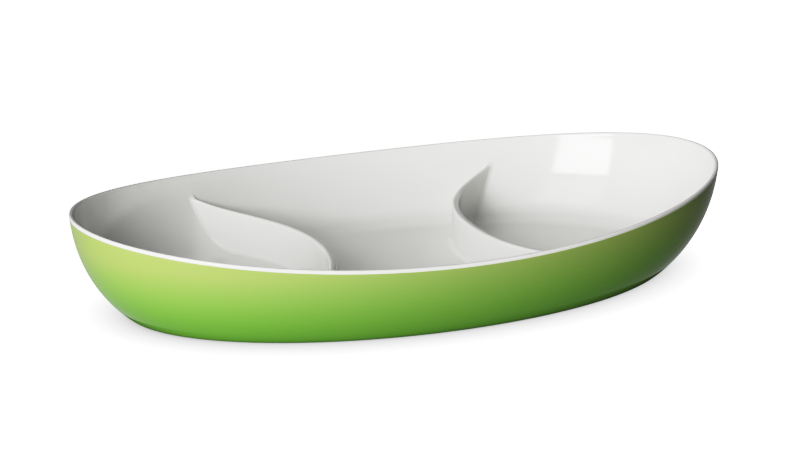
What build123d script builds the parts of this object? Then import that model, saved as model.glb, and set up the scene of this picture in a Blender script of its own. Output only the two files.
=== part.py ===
from build123d import *
import math
import os

# Oval two-tone chip and dip server: a green shell, a white liner whose lip wraps over the shell's edge,
# and two curved white dividers. X runs along the bowl, Y across it, and Z up from the surface that it
# rests on. The origin is the centre of the underside. All sizes are in millimetres and degrees.

# Outside of the bowl. Each horizontal section is an ellipse, and one curved profile leads from the flat
# base out to the rim all the way round. The rim dips to SIDE_HEIGHT at the middle of the long sides, so
# the sides stop short of FULL_WIDTH, which the section at END_HEIGHT has.
LENGTH = 380.0
FULL_WIDTH = 222.0
BASE_LENGTH = 315.5
BASE_WIDTH = 170.2
END_HEIGHT = 59.3
SIDE_HEIGHT = 45.9
RIM_DRAFT = 4.8
PROFILE_REACH = 42.9

# Two layers of one wall. The liner's lip covers the top of the shell.
SHELL_WALL = 1.25
WALL = 2.5
SHELL_FLOOR = 3.2
FLOOR = 6.4
LIP_DROP = 2.0
LIP_ROUND = 0.9
FLOOR_CORNER = 7.0

# Shallow recess under the base, which leaves a narrow land to rest on.
FOOT_LAND = 6.0
RECESS_DEPTH = 1.2

# Dividers, near twins that bulge towards the middle of the bowl. Each crest is low at the centre and
# sweeps up to a sharp tip on each long wall. Plan and crest are curves in y / DIVIDER_REACH.
DIVIDER_REACH = 90.0
APEX_X = 45.3
DIVIDERS = {
    "left_divider": {"side": -1, "apex_y": 8.0, "bend": 41.4, "skew": 6.3, "hook": 5.5},
    "right_divider": {"side": 1, "apex_y": 0.5, "bend": 26.7, "skew": 0.5, "hook": 24.5},
}
CREST_HEIGHT = 29.0
CREST_RISE = 1.9
TIP_SWEEP = 5.4
TIP_POWER = 10
CREST_THICKNESS = 3.6
FOOT_THICKNESS = 5.0
CREST_ROUND = 0.6

# How finely the curves are set out.
SECTIONS = 9
PLAN_POINTS = 13
CREST_POINTS = 17
SPARE = 12.0

profile_run = (LENGTH - BASE_LENGTH) / 2
profile_aspect = (FULL_WIDTH - BASE_WIDTH) / (LENGTH - BASE_LENGTH)
profile_turn = (
    profile_run - PROFILE_REACH * math.sin(math.radians(RIM_DRAFT)),
    END_HEIGHT - PROFILE_REACH * math.cos(math.radians(RIM_DRAFT)),
)


def profile_point(u):
    """Run out from the base edge and height, for u from 0 at the base to 1 at the rim."""
    turn = 3 * (1 - u) * u**2
    end = u**3
    return turn * profile_turn[0] + end * profile_run, turn * profile_turn[1] + end * END_HEIGHT


def profile_lean(u):
    """Run out for each millimetre of height, at u."""
    turn = 3 * (2 * (1 - u) - u)
    end = 3 * u
    return (turn * profile_turn[0] + end * profile_run) / (turn * profile_turn[1] + end * END_HEIGHT)


def profile_at(height):
    """The u of a height, found by halving."""
    low, high = 0.0, 1.0
    while high - low > 1e-9:
        middle = (low + high) / 2
        if profile_point(middle)[1] < height:
            low = middle
        else:
            high = middle
    return (low + high) / 2


def section_radii(u, inset):
    """Half length and half width of the section at u, a normal distance inside the outer wall."""
    run = profile_point(u)[0]
    lean = profile_lean(u)
    half_length = BASE_LENGTH / 2 + run - inset * math.hypot(1, lean)
    half_width = BASE_WIDTH / 2 + run * profile_aspect - inset * math.hypot(1, lean * profile_aspect)
    return half_length, half_width


def bowl_form(inset, bottom, corner):
    """Solid oval form, a normal distance inside the outer wall, with its bottom edge rounded."""
    first = profile_at(bottom)
    with BuildPart() as form:
        for step in range(SECTIONS):
            u = first + (1 - first) * step / (SECTIONS - 1)
            with BuildSketch(Plane.XY.offset(profile_point(u)[1])):
                Ellipse(*section_radii(u, inset))
        loft()
        if corner > 0:
            fillet(form.faces().sort_by(Axis.Z)[0].edges(), corner)
    return form.part


def under_rim(drop):
    """Block that holds everything below the saddle rim, lowered by a drop."""
    half = LENGTH / 2 + SPARE
    end_z = SIDE_HEIGHT + (END_HEIGHT - SIDE_HEIGHT) * (half / (LENGTH / 2)) ** 2
    with BuildPart() as block:
        with BuildSketch(Plane.XZ):
            with BuildLine():
                ThreePointArc((-half, end_z - drop), (0, SIDE_HEIGHT - drop), (half, end_z - drop))
                Polyline((half, end_z - drop), (half, -SPARE), (-half, -SPARE), (-half, end_z - drop))
            make_face()
        extrude(amount=FULL_WIDTH, both=True)
    return block.part


def plan_point(shape, y, offset):
    """Point beside a divider's centre line, an offset away from the middle of the bowl."""
    s = (y - shape["apex_y"]) / DIVIDER_REACH
    x = APEX_X + shape["bend"] * s**2 + shape["skew"] * s**3 + shape["hook"] * s**4
    slope = (2 * shape["bend"] * s + 3 * shape["skew"] * s**2 + 4 * shape["hook"] * s**3) / DIVIDER_REACH
    length = math.hypot(1, slope)
    return shape["side"] * (x + offset / length), y - offset * slope / length


def crest_height(y):
    """Height of the dividers' crest at y."""
    t = abs(y) / DIVIDER_REACH
    return CREST_HEIGHT + CREST_RISE * t**2 + TIP_SWEEP * t**TIP_POWER


def divider_band(shape):
    """Curved wall along a divider's plan, thicker at its foot, taller and longer than the divider."""
    reach = DIVIDER_REACH + SPARE
    stations = [reach * (2 * step / (PLAN_POINTS - 1) - 1) for step in range(PLAN_POINTS)]
    with BuildPart() as band:
        for height, thickness in ((FLOOR, FOOT_THICKNESS), (SIDE_HEIGHT, CREST_THICKNESS)):
            outer = [plan_point(shape, y, thickness / 2) for y in stations]
            inner = [plan_point(shape, y, -thickness / 2) for y in stations]
            with BuildSketch(Plane.XY.offset(height)):
                with BuildLine():
                    Spline(*outer)
                    Spline(*inner)
                    Line(outer[0], inner[0])
                    Line(outer[-1], inner[-1])
                make_face()
        loft(ruled=True)
    return band.part


def under_crest():
    """Block that holds everything below the dividers' crest."""
    reach = DIVIDER_REACH + SPARE / 2
    stations = [reach * (2 * step / (CREST_POINTS - 1) - 1) for step in range(CREST_POINTS)]
    crest = [(y, crest_height(y)) for y in stations]
    with BuildPart() as block:
        with BuildSketch(Plane.YZ):
            with BuildLine():
                Spline(*crest)
                Polyline(crest[-1], (reach, 0), (-reach, 0), crest[0])
            make_face()
        extrude(amount=LENGTH / 2, both=True)
    return block.part


outer_form = bowl_form(0, 0, 0)
bond_form = bowl_form(SHELL_WALL, SHELL_FLOOR, 0)
hollow_form = bowl_form(WALL, FLOOR, FLOOR_CORNER)
crest_form = under_crest()
divider_bands = {name: divider_band(shape) for name, shape in DIVIDERS.items()}

os.makedirs("parts", exist_ok=True)

with BuildPart() as shell_blank:
    add(outer_form)
    add(under_rim(LIP_DROP), mode=Mode.INTERSECT)
    add(bond_form, mode=Mode.SUBTRACT)

with BuildPart() as outer_shell:
    add(shell_blank.part)
    with BuildSketch():
        Ellipse(BASE_LENGTH / 2 - FOOT_LAND, BASE_WIDTH / 2 - FOOT_LAND)
    extrude(amount=RECESS_DEPTH, mode=Mode.SUBTRACT)
outer_shell.part.label = "outer_shell"
export_step(outer_shell.part, "parts/outer_shell.step")

with BuildPart() as inner_liner:
    add(outer_form)
    add(under_rim(0), mode=Mode.INTERSECT)
    add(shell_blank.part, mode=Mode.SUBTRACT)
    add(hollow_form, mode=Mode.SUBTRACT)
    fillet(inner_liner.faces().filter_by(Axis.Z, reverse=True).sort_by(Axis.Z)[-1].edges(), LIP_ROUND)
inner_liner.part.label = "inner_liner"
export_step(inner_liner.part, "parts/inner_liner.step")

for name, band in divider_bands.items():
    with BuildPart() as divider:
        add(band)
        add(crest_form, mode=Mode.INTERSECT)
        add(hollow_form, mode=Mode.INTERSECT)
        crest_edges = divider.faces().filter_by(GeomType.EXTRUSION).edges().sort_by(SortBy.LENGTH)
        fillet(crest_edges[-2:], CREST_ROUND)
    divider.part.label = name
    export_step(divider.part, f"parts/{name}.step")
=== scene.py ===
import bpy
import math
import numpy as np
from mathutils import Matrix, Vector


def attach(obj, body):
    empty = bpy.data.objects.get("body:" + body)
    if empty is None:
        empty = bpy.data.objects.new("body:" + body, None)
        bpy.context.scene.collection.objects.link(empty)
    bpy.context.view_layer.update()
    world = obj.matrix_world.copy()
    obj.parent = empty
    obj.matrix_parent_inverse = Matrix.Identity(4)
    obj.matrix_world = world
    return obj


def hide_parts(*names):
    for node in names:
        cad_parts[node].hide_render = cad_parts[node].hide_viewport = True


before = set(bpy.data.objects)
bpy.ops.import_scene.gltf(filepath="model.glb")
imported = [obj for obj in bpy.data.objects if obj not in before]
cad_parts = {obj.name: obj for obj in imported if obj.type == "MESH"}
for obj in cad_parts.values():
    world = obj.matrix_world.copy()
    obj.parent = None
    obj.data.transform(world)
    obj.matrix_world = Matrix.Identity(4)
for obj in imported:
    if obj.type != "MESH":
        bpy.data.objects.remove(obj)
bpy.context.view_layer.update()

# The bowl's dimensions, in millimetres, as the CAD model has them. Meshes are worked out in millimetres and
# made in metres.
MM = 0.001
LENGTH = 380.0
FULL_WIDTH = 222.0
BASE_LENGTH = 315.5
BASE_WIDTH = 170.2
END_HEIGHT = 59.3
SIDE_HEIGHT = 45.9
RIM_DRAFT = math.radians(4.8)
PROFILE_REACH = 42.9
SHELL_WALL = 1.25
WALL = 2.5
SHELL_FLOOR = 3.2
FLOOR = 6.4
LIP_DROP = 2.0
FLOOR_CORNER = 7.0
FOOT_LAND = 6.0
RECESS_DEPTH = 1.2

# Small roundings of the bowl's edges. The CAD model has only the lip's, a little smaller.
LIP_ROUND = 1.0
SEAM_ROUND = 0.12
RECESS_ROUND = 0.5
BASE_ROUND = 1.5
BASE_ROUND_HEIGHT = 0.75

# The dividers' dimensions. The CAD model's have a sharper crest, ends that sweep up a little more, no foot
# fillet, and the same thickness all the way to the back wall.
DIVIDER_REACH = 90.0
APEX_X = 45.3
DIVIDERS = {
    "left_divider": {"side": -1, "apex_y": 8.0, "bend": 41.4, "skew": 6.3, "hook": 5.5},
    "right_divider": {"side": 1, "apex_y": 0.5, "bend": 26.7, "skew": 0.5, "hook": 24.5},
}
CREST_HEIGHT = 29.0
CREST_RISE = 1.9
TIP_SWEEP = 4.7
TIP_POWER = 10
SWEEP_LIMIT = 1.15
CREST_THICKNESS = 3.6
FOOT_THICKNESS = 5.0
CREST_ROUND = 1.7
FOOT_FILLET = 2.2
TIP_TAPER = 0.55
FILLET_TAPER = 0.3
TAPER_START = 0.55
TAPER_END = 0.95

# How finely the bowl's meshes are made. A power above 1 draws the rings together low on a wall.
AROUND = 640
QUARTER_STEPS = 6
PROFILE_STEPS = 44
HIDDEN_STEPS = 16
BASE_STEPS = 7
LIP_STEPS = 9
OUTER_WALL_POWER = 1.3
INNER_WALL_POWER = 1.15
RECESS_SHARES = (0.9, 0.6, 0.3, 0.1)
LIP_SIDE_SHARES = (0.35, 0.7)
FLOOR_SHARES = (0.985, 0.97, 0.955, 0.94, 0.92, 0.9, 0.87, 0.83, 0.75, 0.6, 0.4, 0.2)
FLAT_SHARE = 0.9
CORNER_LIFT = 2.0
TABLE_END = 1.04
TABLE_STEPS = 2000
RIM_ROUNDS = 20

# How finely the dividers' meshes are made. The apron is the strip that each lays on the liner beside it.
DIVIDER_ROWS = 181
DIVIDER_TURN = math.pi / 2 * 0.93
FACE_STEPS = 16
FACE_POWER = 1.3
CREST_STEPS = 7
APRON = (5.0, 4.0, 3.2, 2.6, 2.1, 1.6, 1.2, 0.8, 0.4)
HALVINGS = 40
SEARCH_REACH = 1.1
SEARCH_DEPTH = 1.0
NEAREST_ROUNDS = 4
LEAST_PULL = 0.3

# How the dividers' meshes end. Beyond the crest's end, rows fan out to a short line on the wall, and the last
# rows are relaxed. The mesh lies a hair proud of the liner, and only its border is sunk into it.
END_RISE = 0.5
TIP_SPREAD = 6.0
TIP_SHARES = (0.05, 0.12, 0.22, 0.35, 0.5, 0.7, 1.0)
RELAXED_ROWS = 22
RELAX_ROUNDS = 60
RELAX_SHARE = 0.6
PROUD = 0.03
BORDER_SINK = 0.25

# How distance fields are measured.
LOWEST_WALL = 1.0
LEAN_STEP = 0.05
SLOPE_STEP = 0.01
LEAST_SLOPE = 0.05
TINY = 1e-9

angle = np.linspace(0, 2 * math.pi, AROUND, endpoint=False)
quarter = np.linspace(0, math.pi / 2, QUARTER_STEPS)

# ---------------------------------------------------------------- the bowl's shape

profile_run = (LENGTH - BASE_LENGTH) / 2
profile_aspect = (FULL_WIDTH - BASE_WIDTH) / (LENGTH - BASE_LENGTH)
turn_run = profile_run - PROFILE_REACH * math.sin(RIM_DRAFT)
turn_height = END_HEIGHT - PROFILE_REACH * math.cos(RIM_DRAFT)
rim_rise = END_HEIGHT - SIDE_HEIGHT
rim_radius = ((LENGTH / 2) ** 2 + rim_rise**2) / (2 * rim_rise)


def profile(u):
    """Run out from the base edge and height of the outer wall, for u from 0 at the base to 1 at the rim."""
    turn = 3 * (1 - u) * u**2
    return turn * turn_run + u**3 * profile_run, turn * turn_height + u**3 * END_HEIGHT


def lean(u):
    """Run out for each millimetre of height."""
    turn = 3 * (2 - 3 * u)
    end = 3 * u
    return (turn * turn_run + end * profile_run) / (turn * turn_height + end * END_HEIGHT)


table_u = np.linspace(0, TABLE_END, TABLE_STEPS)
table_height = profile(table_u)[1]


def radii(height, inset):
    """Half length and half width of the bowl at a height, a normal distance inside the outer wall."""
    u = np.interp(height, table_height, table_u)
    run = profile(u)[0]
    half_length = BASE_LENGTH / 2 + run - inset * np.hypot(1, lean(u))
    half_width = BASE_WIDTH / 2 + run * profile_aspect - inset * np.hypot(1, lean(u) * profile_aspect)
    return half_length, half_width


def rim_height(x):
    """Height of the saddle rim at x."""
    return SIDE_HEIGHT + rim_radius - np.sqrt(rim_radius**2 - x**2)


def rim_at(inset, drop):
    """Height, at each angle, where the wall at an inset meets the rim lowered by a drop."""
    height = np.full_like(angle, SIDE_HEIGHT)
    for _ in range(RIM_ROUNDS):
        height = rim_height(radii(height, inset)[0] * np.cos(angle)) - drop
    return height


def oval_ring(half_length, half_width, height):
    """Ring of points round an oval, at one height or at a height for each angle."""
    return np.stack([half_length * np.cos(angle), half_width * np.sin(angle), height + 0 * angle], -1)


def wall_ring(height, inset):
    """Ring of the wall at the given heights, a normal distance inside the outer wall."""
    return oval_ring(*radii(height, inset), height)


def flat_ring(inset, height):
    """Level ring, an inset inside the edge of the base."""
    return oval_ring(BASE_LENGTH / 2 - inset, BASE_WIDTH / 2 - inset, height)


def rounding(radius, t):
    """Two legs of a rounded edge, a turn of t round it. The first grows from nothing to the radius while the
    second shrinks from the radius to nothing."""
    return radius * (1 - math.cos(t)), radius * (1 - math.sin(t))


# ---------------------------------------------------------------- distance fields


def rounded_union(a, b, radius):
    """Distance to two bodies joined by a fillet of that radius, from the distances to each."""
    corner = radius - np.hypot(np.maximum(radius - a, 0), np.maximum(radius - b, 0))
    lower = np.minimum(a, b)
    return np.where(lower < radius, corner, lower)


def rounded_cut(a, b, radius):
    """Distance to what two bodies share, its edge rounded to that radius."""
    edge = np.hypot(np.maximum(a + radius, 0), np.maximum(b + radius, 0)) - radius
    upper = np.maximum(a, b)
    return np.where(upper > -radius, edge, upper)


def ground(p):
    """Distance into the bowl's hollow from the liner's inner wall and floor."""
    x, y, z = p[:, 0], p[:, 1], np.clip(p[:, 2], LOWEST_WALL, None)
    a, b = radii(z, WALL)
    a_up, b_up = radii(z + LEAN_STEP, WALL)
    q = np.hypot(x / a, y / b) + TINY
    across = np.hypot(x / a**2, y / b**2) / q
    up = (np.hypot(x / a_up, y / b_up) - q) / LEAN_STEP
    wall = (1 - q) / np.hypot(across, up)
    return rounded_union(wall, p[:, 2] - FLOOR, FLOOR_CORNER)


def slope_of(field, p):
    """Gradient of a distance field."""
    columns = []
    for axis in range(3):
        move = np.zeros(3)
        move[axis] = SLOPE_STEP
        columns.append((field(p + move) - field(p - move)) / (2 * SLOPE_STEP))
    return np.stack(columns, -1)


def settle(field, p, level=0.0, rounds=10, reach=1.5):
    """Moves points onto a distance field's surface at a level, in each round by the reach at most."""
    for _ in range(rounds):
        slope = slope_of(field, p)
        gap = field(p) - level
        move = -slope * (gap / np.maximum((slope**2).sum(-1), LEAST_SLOPE))[:, None]
        length = np.linalg.norm(move, axis=-1, keepdims=True)
        p = p + move * np.minimum(1, reach / np.maximum(length, TINY))
    return p


def unit(v):
    """Vectors drawn out or in to a length of 1."""
    return v / np.maximum(np.linalg.norm(v, axis=-1, keepdims=True), TINY)


# ---------------------------------------------------------------- mesh tools


def to_object(name, verts, faces, normals=None):
    """Smooth-shaded object of a mesh given in millimetres."""
    mesh = bpy.data.meshes.new(name)
    mesh.from_pydata((np.asarray(verts) * MM).tolist(), [], faces)
    mesh.polygons.foreach_set("use_smooth", [True] * len(mesh.polygons))
    mesh.validate()
    if normals is not None:
        mesh.normals_split_custom_set_from_vertices([tuple(n) for n in normals])
    mesh.update()
    piece = bpy.data.objects.new(name, mesh)
    bpy.context.scene.collection.objects.link(piece)
    return piece


def rings_to_object(name, rings, start, end):
    """Closed mesh of rings joined in order, with a point at each end. Outward faces if the rings run
    outwards underneath and inwards on top."""
    count = len(angle)
    verts = np.concatenate(rings + [np.array([start]), np.array([end])])
    faces = []
    for k in range(len(rings) - 1):
        for i in range(count):
            j = (i + 1) % count
            faces.append((k * count + i, (k + 1) * count + i, (k + 1) * count + j, k * count + j))
    first, last = len(verts) - 2, len(verts) - 1
    base = (len(rings) - 1) * count
    for i in range(count):
        j = (i + 1) % count
        faces.append((first, i, j))
        faces.append((last, base + j, base + i))
    return to_object(name, verts, faces)


# ---------------------------------------------------------------- shell


def underside_rings():
    """Rings of the shell's recessed underside and its foot, outwards to where the base rounds up."""
    to_middle = BASE_WIDTH / 2 - FOOT_LAND
    rings = [flat_ring(FOOT_LAND + to_middle * share, RECESS_DEPTH) for share in RECESS_SHARES]
    for t in quarter:
        down, back = rounding(RECESS_ROUND, t)
        rings.append(flat_ring(FOOT_LAND + back, RECESS_DEPTH - down))
    for t in quarter:
        out, up = rounding(RECESS_ROUND, t)
        rings.append(flat_ring(FOOT_LAND - out, up))
    rings.append(flat_ring((FOOT_LAND + BASE_ROUND) / 2, 0))
    return rings


def make_shell():
    """Green shell: recessed underside, foot, outer wall, top edge under the lip, hidden inner face."""
    rings = underside_rings()
    for t in np.linspace(0, 1, BASE_STEPS):
        ring = (1 - t) ** 2 * flat_ring(BASE_ROUND, 0) + 2 * t * (1 - t) * flat_ring(0, 0)
        rings.append(ring + t**2 * wall_ring(BASE_ROUND_HEIGHT, 0))
    top = rim_at(0, LIP_DROP)
    rise = top - SEAM_ROUND - BASE_ROUND_HEIGHT
    for t in np.linspace(0, 1, PROFILE_STEPS)[1:]:
        rings.append(wall_ring(BASE_ROUND_HEIGHT + rise * t**OUTER_WALL_POWER, 0))
    for t in quarter[1:]:
        inset, drop = rounding(SEAM_ROUND, t)
        rings.append(wall_ring(top - drop, inset))
    rise = rim_at(SHELL_WALL, LIP_DROP) - SHELL_FLOOR
    for t in np.linspace(1, 0, HIDDEN_STEPS):
        rings.append(wall_ring(SHELL_FLOOR + rise * t, SHELL_WALL))
    return rings_to_object("shell", rings, (0, 0, RECESS_DEPTH), (0, 0, SHELL_FLOOR))


# ---------------------------------------------------------------- liner


def lip_rings():
    """Rings of the lip: from the seam over the shell's edge up, over the rounded top and inwards."""
    low = rim_at(0, LIP_DROP)
    rings = []
    for t in quarter:
        up, inset = rounding(SEAM_ROUND, t)
        rings.append(wall_ring(low + up, inset))
    for share in LIP_SIDE_SHARES:
        rings.append(wall_ring(low + SEAM_ROUND + (LIP_DROP - LIP_ROUND - SEAM_ROUND) * share, 0))
    for t in np.linspace(0, math.pi / 2, LIP_STEPS):
        inset, drop = rounding(LIP_ROUND, t)
        rings.append(wall_ring(rim_at(inset, drop), inset))
    for t in np.linspace(math.pi / 2, 0, LIP_STEPS):
        inset, drop = rounding(LIP_ROUND, t)
        rings.append(wall_ring(rim_at(WALL - inset, drop), WALL - inset))
    return rings


def make_liner():
    """White liner: hidden underside, lip wrapped over the shell's edge, inner wall, rounded corner, floor."""
    rise = rim_at(SHELL_WALL, LIP_DROP) - SHELL_FLOOR
    rings = [wall_ring(SHELL_FLOOR + rise * t, SHELL_WALL) for t in np.linspace(0, 1, HIDDEN_STEPS)]
    rings += lip_rings()
    low = FLOOR + CORNER_LIFT
    rise = rim_at(WALL, LIP_ROUND) - low
    for t in np.linspace(1, 0, PROFILE_STEPS)[1:]:
        rings.append(settle(ground, wall_ring(low + rise * t**INNER_WALL_POWER, WALL)))
    floor_edge = rings[-1].copy()
    for share in FLOOR_SHARES:
        lift = max(0, (share - FLAT_SHARE) / (1 - FLAT_SHARE)) ** 2
        ring = floor_edge * share
        ring[:, 2] = FLOOR + (floor_edge[:, 2] - FLOOR) * lift
        rings.append(settle(ground, ring))
    return rings_to_object("liner", rings, (0, 0, SHELL_FLOOR), (0, 0, FLOOR))


# ---------------------------------------------------------------- dividers


def plan(shape, y):
    """Distance from the bowl's middle, slope and bend of a divider's centre line at y."""
    s = (y - shape["apex_y"]) / DIVIDER_REACH
    bend, skew, hook = shape["bend"], shape["skew"], shape["hook"]
    x = APEX_X + s * s * (bend + s * (skew + s * hook))
    first = s * (2 * bend + s * (3 * skew + s * 4 * hook)) / DIVIDER_REACH
    second = (2 * bend + s * (6 * skew + s * 12 * hook)) / DIVIDER_REACH**2
    return x, first, second


def beside(shape, y, offset):
    """Points beside a divider's centre line, as x and y."""
    x, slope, _ = plan(shape, y)
    length = np.hypot(1, slope)
    return shape["side"] * (x + offset / length), y - offset * slope / length


def crest(y):
    """Height of the dividers' crest at y."""
    t = np.abs(y) / DIVIDER_REACH
    return CREST_HEIGHT + CREST_RISE * t**2 + TIP_SWEEP * np.minimum(t, SWEEP_LIMIT) ** TIP_POWER


def back_tip(y):
    """Share from 0 to 1 along the last of a divider's way to the back wall."""
    t = np.clip((y / DIVIDER_REACH - TAPER_START) / (TAPER_END - TAPER_START), 0, 1)
    return t * t * (3 - 2 * t)


def crest_round(y):
    """Radius of the rounded crest, which shrinks with the thickness."""
    return CREST_ROUND * (1 - TIP_TAPER * back_tip(y))


def half_thickness(z, y):
    """Half the thickness of a divider: it thins from its foot upwards and towards its back tip."""
    share = (z - FLOOR) / (SIDE_HEIGHT - FLOOR)
    taper = 1 - TIP_TAPER * back_tip(y)
    return (FOOT_THICKNESS + (CREST_THICKNESS - FOOT_THICKNESS) * share) * taper / 2


def divider_distance(shape, p):
    """Distance outside a divider's faces and crest."""
    x, y = shape["side"] * p[:, 0], p[:, 1]
    near = y.copy()
    for _ in range(NEAREST_ROUNDS):
        at, slope, second = plan(shape, near)
        pull = (at - x) * slope + near - y
        near = near - pull / np.maximum(slope**2 + (at - x) * second + 1, LEAST_PULL)
    at, slope, _ = plan(shape, near)
    offset = ((x - at) - slope * (y - near)) / np.hypot(1, slope)
    beyond_face = np.abs(offset) - half_thickness(p[:, 2], near)
    return rounded_cut(beyond_face, p[:, 2] - crest(y), crest_round(near))


def face_points(shape, y, side, z):
    """Points on a divider's face towards the bowl's middle (-1) or away from it (1)."""
    x, at = beside(shape, y, side * half_thickness(z, y))
    return np.stack([x, at, z], -1)


def crest_end(shape, end):
    """The y where the crest has almost come down to the wall, at the back (1) or the front (-1)."""
    low, high = 0.0, end * DIVIDER_REACH * SEARCH_REACH
    for _ in range(HALVINGS):
        middle = (low + high) / 2
        x, at = beside(shape, np.array([middle]), 0)
        if ground(np.stack([x, at, crest(at)], -1))[0] > END_RISE:
            low = middle
        else:
            high = middle
    return low


def stations(shape):
    """The y of each row of a divider's mesh, closer together towards the crest's ends."""
    shares = np.sin(np.linspace(-1, 1, DIVIDER_ROWS) * DIVIDER_TURN) / math.sin(DIVIDER_TURN)
    back, front = crest_end(shape, 1), crest_end(shape, -1)
    return (back + front) / 2 + (back - front) / 2 * shares


def foot_heights(shape, y, side):
    """Height at which a divider's face meets the liner."""
    low, high = np.full_like(y, FLOOR - SEARCH_DEPTH), crest(y) - crest_round(y)
    for _ in range(HALVINGS):
        middle = (low + high) / 2
        under = ground(face_points(shape, y, side, middle)) < 0
        low, high = np.where(under, middle, low), np.where(under, high, middle)
    return high


def apron_columns(shape, y, side, foot):
    """Columns of points on the liner beside a divider's face, the outermost first."""
    normal = unit(slope_of(ground, foot))
    along = unit(np.gradient(foot, axis=0))
    out = unit(np.cross(normal, along))
    slope = plan(shape, y)[1]
    face_out = np.stack([shape["side"] * side + 0 * y, -side * slope, 0 * y], -1)
    out *= np.sign((out * face_out).sum())
    return [foot + out * distance for distance in APRON]


def side_columns(shape, y, side):
    """Columns of points from the apron up one of a divider's faces and round the edge of its crest."""
    low, top = foot_heights(shape, y, side), crest(y) - crest_round(y)
    columns = apron_columns(shape, y, side, face_points(shape, y, side, low))
    for t in np.linspace(0, 1, FACE_STEPS) ** FACE_POWER:
        columns.append(face_points(shape, y, side, low + (top - low) * t))
    for t in quarter[1:]:
        inset, drop = rounding(crest_round(y), t)
        z = crest(y) - drop
        x, at = beside(shape, y, side * (half_thickness(z, y) - inset))
        columns.append(np.stack([x, at, z], -1))
    return columns


def tip_rows(row, side_count):
    """Rows that fan out from the last row over a divider's crest to a short line on the wall beyond it. As
    many of the row's points as the side count lie on each side of the crest."""
    left, right = row[side_count - 1], row[-side_count]
    across = unit(row[side_count] - left)
    middle = settle(ground, (left + right)[None] / 2)[0]
    up = np.cross(unit(slope_of(ground, middle[None]))[0], across)
    up *= np.sign(up[2])
    spread = np.linspace(-TIP_SPREAD, TIP_SPREAD, len(row))[:, None]
    beyond = middle + up * TIP_SPREAD / 2 + across * spread
    return [row + (beyond - row) * share for share in TIP_SHARES]


def relax(field, tip):
    """Evens out the points of a tip, in place, while they stay on the field's surface."""
    for _ in range(RELAX_ROUNDS):
        mean = (tip[:-2, 1:-1] + tip[2:, 1:-1] + tip[1:-1, :-2] + tip[1:-1, 2:]) / 4
        tip[1:-1, 1:-1] += RELAX_SHARE * (mean - tip[1:-1, 1:-1])
        tip[1:-1, 1:-1] = settle(field, tip[1:-1, 1:-1].reshape(-1, 3), rounds=2).reshape(mean.shape)


def divider_grid(shape):
    """Rows and columns of points over a divider, from apron to apron and from tip to tip."""
    y = stations(shape)
    left, right = side_columns(shape, y, -1), side_columns(shape, y, 1)
    shares = np.linspace(0, 1, CREST_STEPS)[1:-1]
    flat = [left[-1] + (right[-1] - left[-1]) * share for share in shares]
    grid = np.stack(left + flat + right[::-1], 1)
    front, back = tip_rows(grid[0], len(left)), tip_rows(grid[-1], len(left))
    return np.concatenate([np.stack(front[::-1]), grid, np.stack(back)])


def make_divider(name):
    """White divider: two faces, a rounded crest, and a fillet all round where it meets the liner."""
    shape = DIVIDERS[name]

    def field(p):
        """Distance to the divider and the liner, joined by the divider's fillet."""
        fillet = FOOT_FILLET * (1 - FILLET_TAPER * back_tip(p[:, 1]))
        return rounded_union(divider_distance(shape, p), ground(p), fillet)

    grid = divider_grid(shape)
    rows, cols = grid.shape[:2]
    points = settle(field, grid.reshape(-1, 3)).reshape(rows, cols, 3)
    relax(field, points[:RELAXED_ROWS])
    relax(field, points[-RELAXED_ROWS:])
    points = settle(field, points.reshape(-1, 3), level=PROUD)
    normals = unit(slope_of(field, points))

    border = np.ones((rows, cols), bool)
    border[1:-1, 1:-1] = False
    points = points - BORDER_SINK * border.reshape(-1, 1) * normals
    faces = []
    for r in range(rows - 1):
        for c in range(cols - 1):
            a = r * cols + c
            quad = (a, a + 1, a + cols + 1, a + cols)
            faces.append(quad if shape["side"] > 0 else quad[::-1])
    return to_object(name + "_wall", points, faces, normals)


# ---------------------------------------------------------------- materials

# Colours at the bowl's foot and at its lip. The green's lighter, yellower colour towards the lip is painted
# sheen. The clouds and the grain repeat so many times a metre.
GREEN_FOOT = (0.142, 0.353, 0.045)
GREEN_LIP_PAINTED_SHEEN = (0.275, 0.37, 0.105)
WHITE_FOOT = (0.745, 0.745, 0.725)
WHITE_LIP = (0.755, 0.755, 0.735)
LIP_COLOUR_POWER = 1.6
CLOUD_SCALE = 30
CLOUD_DETAIL = 3
GLOSS_SWING = 0.02
GRAIN_SCALE = 900
GRAIN_DETAIL = 2
GRAIN_STRENGTH = 0.02
GRAIN_DEPTH = 0.0002
PLASTIC_IOR = 1.5


def new_material(name):
    """Material with its nodes, its links and its main shader."""
    material = bpy.data.materials.new(name)
    material.use_nodes = True
    nodes = material.node_tree.nodes
    return material, nodes, material.node_tree.links, nodes["Principled BSDF"]


def math_node(nodes, operation, *values):
    """Math node with these values at its inputs. None leaves an input to a link."""
    node = nodes.new("ShaderNodeMath")
    node.operation = operation
    for place, value in enumerate(values):
        if value is not None:
            node.inputs[place].default_value = value
    return node


def noise(nodes, links, place, scale, detail):
    """Noise texture on the object's own coordinates."""
    texture = nodes.new("ShaderNodeTexNoise")
    texture.inputs["Scale"].default_value = scale
    texture.inputs["Detail"].default_value = detail
    links.new(place.outputs["Object"], texture.inputs["Vector"])
    return texture.outputs["Fac"]


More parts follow.
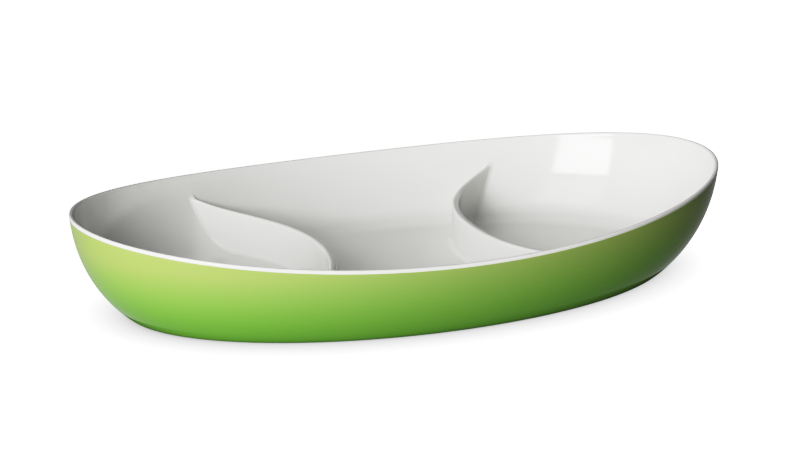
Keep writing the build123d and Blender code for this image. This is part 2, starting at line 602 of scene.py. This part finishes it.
def gloss_plastic(name, foot, lip, cloud_share, roughness):
    """Moulded gloss plastic. Its colour runs from one at the foot to one at the lip, with faint clouds in
    the colour and the gloss, and its surface has the very fine unevenness of a moulding. In the green, the
    lighter, yellower colour at the lip is painted sheen."""
    material, nodes, links, shader = new_material(name)
    place = nodes.new("ShaderNodeTexCoord")
    cloud = noise(nodes, links, place, CLOUD_SCALE, CLOUD_DETAIL)

    axes = nodes.new("ShaderNodeSeparateXYZ")
    links.new(place.outputs["Object"], axes.inputs["Vector"])
    height = nodes.new("ShaderNodeMapRange")
    height.inputs["From Min"].default_value = 0
    height.inputs["From Max"].default_value = SIDE_HEIGHT * MM
    links.new(axes.outputs["Z"], height.inputs["Value"])
    # The colour's rise towards the lip. In the green it is painted sheen.
    late = math_node(nodes, "POWER", None, LIP_COLOUR_POWER)
    links.new(height.outputs["Result"], late.inputs[0])
    drift = math_node(nodes, "MULTIPLY_ADD", None, cloud_share)
    links.new(cloud, drift.inputs[0])
    links.new(late.outputs["Value"], drift.inputs[2])
    colour = nodes.new("ShaderNodeMix")
    colour.data_type = "RGBA"
    colour.inputs["A"].default_value = (*foot, 1)
    colour.inputs["B"].default_value = (*lip, 1)
    links.new(drift.outputs["Value"], colour.inputs["Factor"])
    links.new(colour.outputs["Result"], shader.inputs["Base Color"])

    gloss = nodes.new("ShaderNodeMapRange")
    gloss.inputs["To Min"].default_value = roughness - GLOSS_SWING
    gloss.inputs["To Max"].default_value = roughness + GLOSS_SWING
    links.new(cloud, gloss.inputs["Value"])
    links.new(gloss.outputs["Result"], shader.inputs["Roughness"])

    grain = noise(nodes, links, place, GRAIN_SCALE, GRAIN_DETAIL)
    bump = nodes.new("ShaderNodeBump")
    bump.inputs["Strength"].default_value = GRAIN_STRENGTH
    bump.inputs["Distance"].default_value = GRAIN_DEPTH
    links.new(grain, bump.inputs["Height"])
    links.new(bump.outputs["Normal"], shader.inputs["Normal"])
    shader.inputs["IOR"].default_value = PLASTIC_IOR
    return material


# The green's lighter, yellower lip colour is painted sheen.
green = gloss_plastic("green_gloss_plastic", GREEN_FOOT, GREEN_LIP_PAINTED_SHEEN, cloud_share=0.06, roughness=0.12)
white = gloss_plastic("white_gloss_plastic", WHITE_FOOT, WHITE_LIP, cloud_share=0.3, roughness=0.10)

# ---------------------------------------------------------------- the pieces

shell = make_shell()
shell.data.materials.append(green)
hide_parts("outer_shell")

liner = make_liner()
liner.data.materials.append(white)
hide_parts("inner_liner")

pieces = [shell, liner]
for name in DIVIDERS:
    wall = make_divider(name)
    wall.data.materials.append(white)
    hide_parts(name)
    pieces.append(wall)
for piece in pieces:
    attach(piece, "root")

# ---------------------------------------------------------------- floor, light and camera

# A direction is an azimuth, where 0 is the front and -90 the left, and an elevation, in degrees. Lengths are
# in metres here, but the lens's and the sensor's are in millimetres. The lamps' powers are in watts.
CAMERA_DIRECTION = (-23.03, 18.26)
CAMERA_DISTANCE = 2.3468
CAMERA_TILT_UP = 0.01277
CAMERA_LENS = 189.0
CAMERA_SENSOR = 36.0
CAMERA_SIGHT = 50.0
SOFTBOX_DISTANCE = 1.5
KEY_DIRECTION = (-45.5, 15.5)
KEY_SIZE = (0.665, 0.72)
KEY_POWER = 29.0
TOP_DIRECTION = (-45.5, 45.0)
TOP_SIZE = (0.665, 0.6)
TOP_POWER = 3.5

# Broad glows, each with an azimuth, an elevation and a strength. Those from below stand for the light that a
# white table throws back.
GLOW_SHARPNESS = 6.0
GLOWS = [
    (-90, 10, 1.1),
    (-45, 10, 0.8),
    (-90, 45, 0.7),
    (-45, -25, 0.8),
    (0, -25, 0.6),
    (180, -25, 0.5),
    (-135, -25, 0.4),
    (-90, -25, 0.3),
    (135, -25, 0.2),
]

# The light of the backdrop and the table, which the camera shows as white, and how the painted shade darkens
# the table close to the bowl, from a spot that is almost shut in to one that is almost open.
BACKDROP_LIGHT = 3.0
FLOOR_SIZE = 12.0
FLOOR_SHADE_REACH = 0.022
FLOOR_SHADE_SAMPLES = 16
FLOOR_SHADE_LIGHT = 0.55
SHUT_IN = 0.1
OPEN = 0.85

# The dark patch under the bowl's foot, a dark sheet standing in for the table's shadow there. Its margin and
# its depth are in millimetres.
SHADE_MARGIN = 5.0
SHADE_DEPTH = 0.5
SHADE_SIDES = 96
SHADE_GREY = 0.05

# The camera's tone curve.
TONE_CONTRAST = 0.8
TONE_SHOULDER = 1.6
TONE_SHARPNESS = 7
TONE_STEPS = 20


def direction(azimuth, elevation):
    """Unit vector towards an azimuth and an elevation."""
    turn, rise = math.radians(azimuth), math.radians(elevation)
    return Vector((math.sin(turn) * math.cos(rise), -math.cos(turn) * math.cos(rise), math.sin(rise)))


def make_flat(name, outline):
    """Flat, level object of one face, with its material's nodes, links and main shader."""
    mesh = bpy.data.meshes.new(name)
    mesh.from_pydata([(x, y, 0) for x, y in outline], [], [range(len(outline))])
    flat = bpy.data.objects.new(name, mesh)
    bpy.context.scene.collection.objects.link(flat)
    material, nodes, links, shader = new_material(name)
    mesh.materials.append(material)
    return flat, nodes, links, shader


def make_floor():
    """White table top, seen by the camera alone: it lights nothing and stops no light. It is evenly bright
    but for the soft shade painted close round the bowl's foot."""
    half = FLOOR_SIZE / 2
    corners = [(-half, -half), (half, -half), (half, half), (-half, half)]
    floor, nodes, links, shader = make_flat("floor", corners)
    nodes.remove(shader)
    # Painted shade: the table's brightness drops where the bowl shuts it in.
    shade = nodes.new("ShaderNodeAmbientOcclusion")
    shade.samples = FLOOR_SHADE_SAMPLES
    shade.inputs["Distance"].default_value = FLOOR_SHADE_REACH
    level = nodes.new("ShaderNodeMapRange")
    level.inputs["From Min"].default_value = SHUT_IN
    level.inputs["From Max"].default_value = OPEN
    level.inputs["To Min"].default_value = FLOOR_SHADE_LIGHT
    level.inputs["To Max"].default_value = BACKDROP_LIGHT
    links.new(shade.outputs["AO"], level.inputs["Value"])
    bright = nodes.new("ShaderNodeEmission")
    links.new(level.outputs["Result"], bright.inputs["Strength"])
    links.new(bright.outputs["Emission"], nodes["Material Output"].inputs["Surface"])
    floor.visible_diffuse = False
    floor.visible_glossy = False
    floor.visible_shadow = False


def make_foot_shade():
    """Dark patch just under the table top, unseen by the camera, which keeps the light from below off the
    bowl's foot. It stands in for the shadow on the table under the bowl."""
    half_length = (BASE_LENGTH / 2 + SHADE_MARGIN) * MM
    half_width = (BASE_WIDTH / 2 + SHADE_MARGIN) * MM
    turns = [2 * math.pi * step / SHADE_SIDES for step in range(SHADE_SIDES)]
    outline = [(half_length * math.cos(turn), half_width * math.sin(turn)) for turn in turns]
    patch, _, _, shader = make_flat("foot_shade", outline)
    shader.inputs["Base Color"].default_value = (SHADE_GREY, SHADE_GREY, SHADE_GREY, 1)
    shader.inputs["Roughness"].default_value = 1
    shader.inputs["Specular IOR Level"].default_value = 0
    patch.location.z = -SHADE_DEPTH * MM
    patch.visible_camera = False


def make_softbox(name, toward, size, power):
    """Softbox in a direction from the bowl, turned towards it."""
    light = bpy.data.lights.new(name, "AREA")
    light.shape = "RECTANGLE"
    light.size, light.size_y = size
    light.energy = power
    lamp = bpy.data.objects.new(name, light)
    lamp.location = direction(*toward) * SOFTBOX_DISTANCE
    lamp.rotation_euler = direction(*toward).to_track_quat("Z", "Y").to_euler()
    bpy.context.scene.collection.objects.link(lamp)


def make_studio():
    """World of broad soft glows, with a backdrop that the camera shows as white."""
    world = bpy.data.worlds.new("studio")
    world.use_nodes = True
    nodes, links = world.node_tree.nodes, world.node_tree.links
    place = nodes.new("ShaderNodeTexCoord")
    seen = nodes.new("ShaderNodeLightPath")
    backdrop = math_node(nodes, "MULTIPLY", None, BACKDROP_LIGHT)
    links.new(seen.outputs["Is Camera Ray"], backdrop.inputs[0])
    total = backdrop.outputs["Value"]
    for azimuth, elevation, strength in GLOWS:
        toward = nodes.new("ShaderNodeVectorMath")
        toward.operation = "DOT_PRODUCT"
        toward.inputs[1].default_value = direction(azimuth, elevation)
        links.new(place.outputs["Generated"], toward.inputs[0])
        fall = math_node(nodes, "MULTIPLY_ADD", None, GLOW_SHARPNESS, -GLOW_SHARPNESS)
        links.new(toward.outputs["Value"], fall.inputs[0])
        glow = math_node(nodes, "EXPONENT")
        links.new(fall.outputs["Value"], glow.inputs[0])
        more = math_node(nodes, "MULTIPLY_ADD", None, strength)
        links.new(glow.outputs["Value"], more.inputs[0])
        links.new(total, more.inputs[2])
        total = more.outputs["Value"]
    links.new(total, nodes["Background"].inputs["Strength"])
    nodes["Background"].inputs["Color"].default_value = (1, 1, 1, 1)
    bpy.context.scene.world = world


def make_camera():
    """Long lens, aimed a little above the middle of the bowl's foot."""
    lens = bpy.data.cameras.new("camera")
    lens.sensor_width = CAMERA_SENSOR
    lens.lens = CAMERA_LENS
    lens.clip_end = CAMERA_SIGHT
    camera = bpy.data.objects.new("camera", lens)
    bpy.context.scene.collection.objects.link(camera)
    back = direction(*CAMERA_DIRECTION)
    camera.location = back * CAMERA_DISTANCE
    right = Vector((0, 0, 1)).cross(back).normalized()
    aim = back.cross(right) * CAMERA_TILT_UP - back
    camera.rotation_euler = aim.to_track_quat("-Z", "Y").to_euler()
    bpy.context.scene.camera = camera


def light_for(brightness):
    """How much light the camera's tone curve shows at a brightness from 0 to 1."""
    return brightness**TONE_CONTRAST * (1 + TONE_SHOULDER * brightness**TONE_SHARPNESS)


def set_tone_curve():
    """A photograph's tone curve: a little contrast in the darks and a soft shoulder in the lights."""
    view = bpy.context.scene.view_settings
    view.view_transform = "Standard"
    view.use_curve_mapping = True
    tone = view.curve_mapping
    full = light_for(1)
    tone.white_level = (full, full, full)
    every_channel = tone.curves[3]
    for step in range(1, TONE_STEPS):
        every_channel.points.new(light_for(step / TONE_STEPS) / full, step / TONE_STEPS)
    tone.update()


make_floor()
make_foot_shade()
make_softbox("key_softbox", KEY_DIRECTION, KEY_SIZE, KEY_POWER)
make_softbox("top_softbox", TOP_DIRECTION, TOP_SIZE, TOP_POWER)
make_studio()
make_camera()
set_tone_curve()
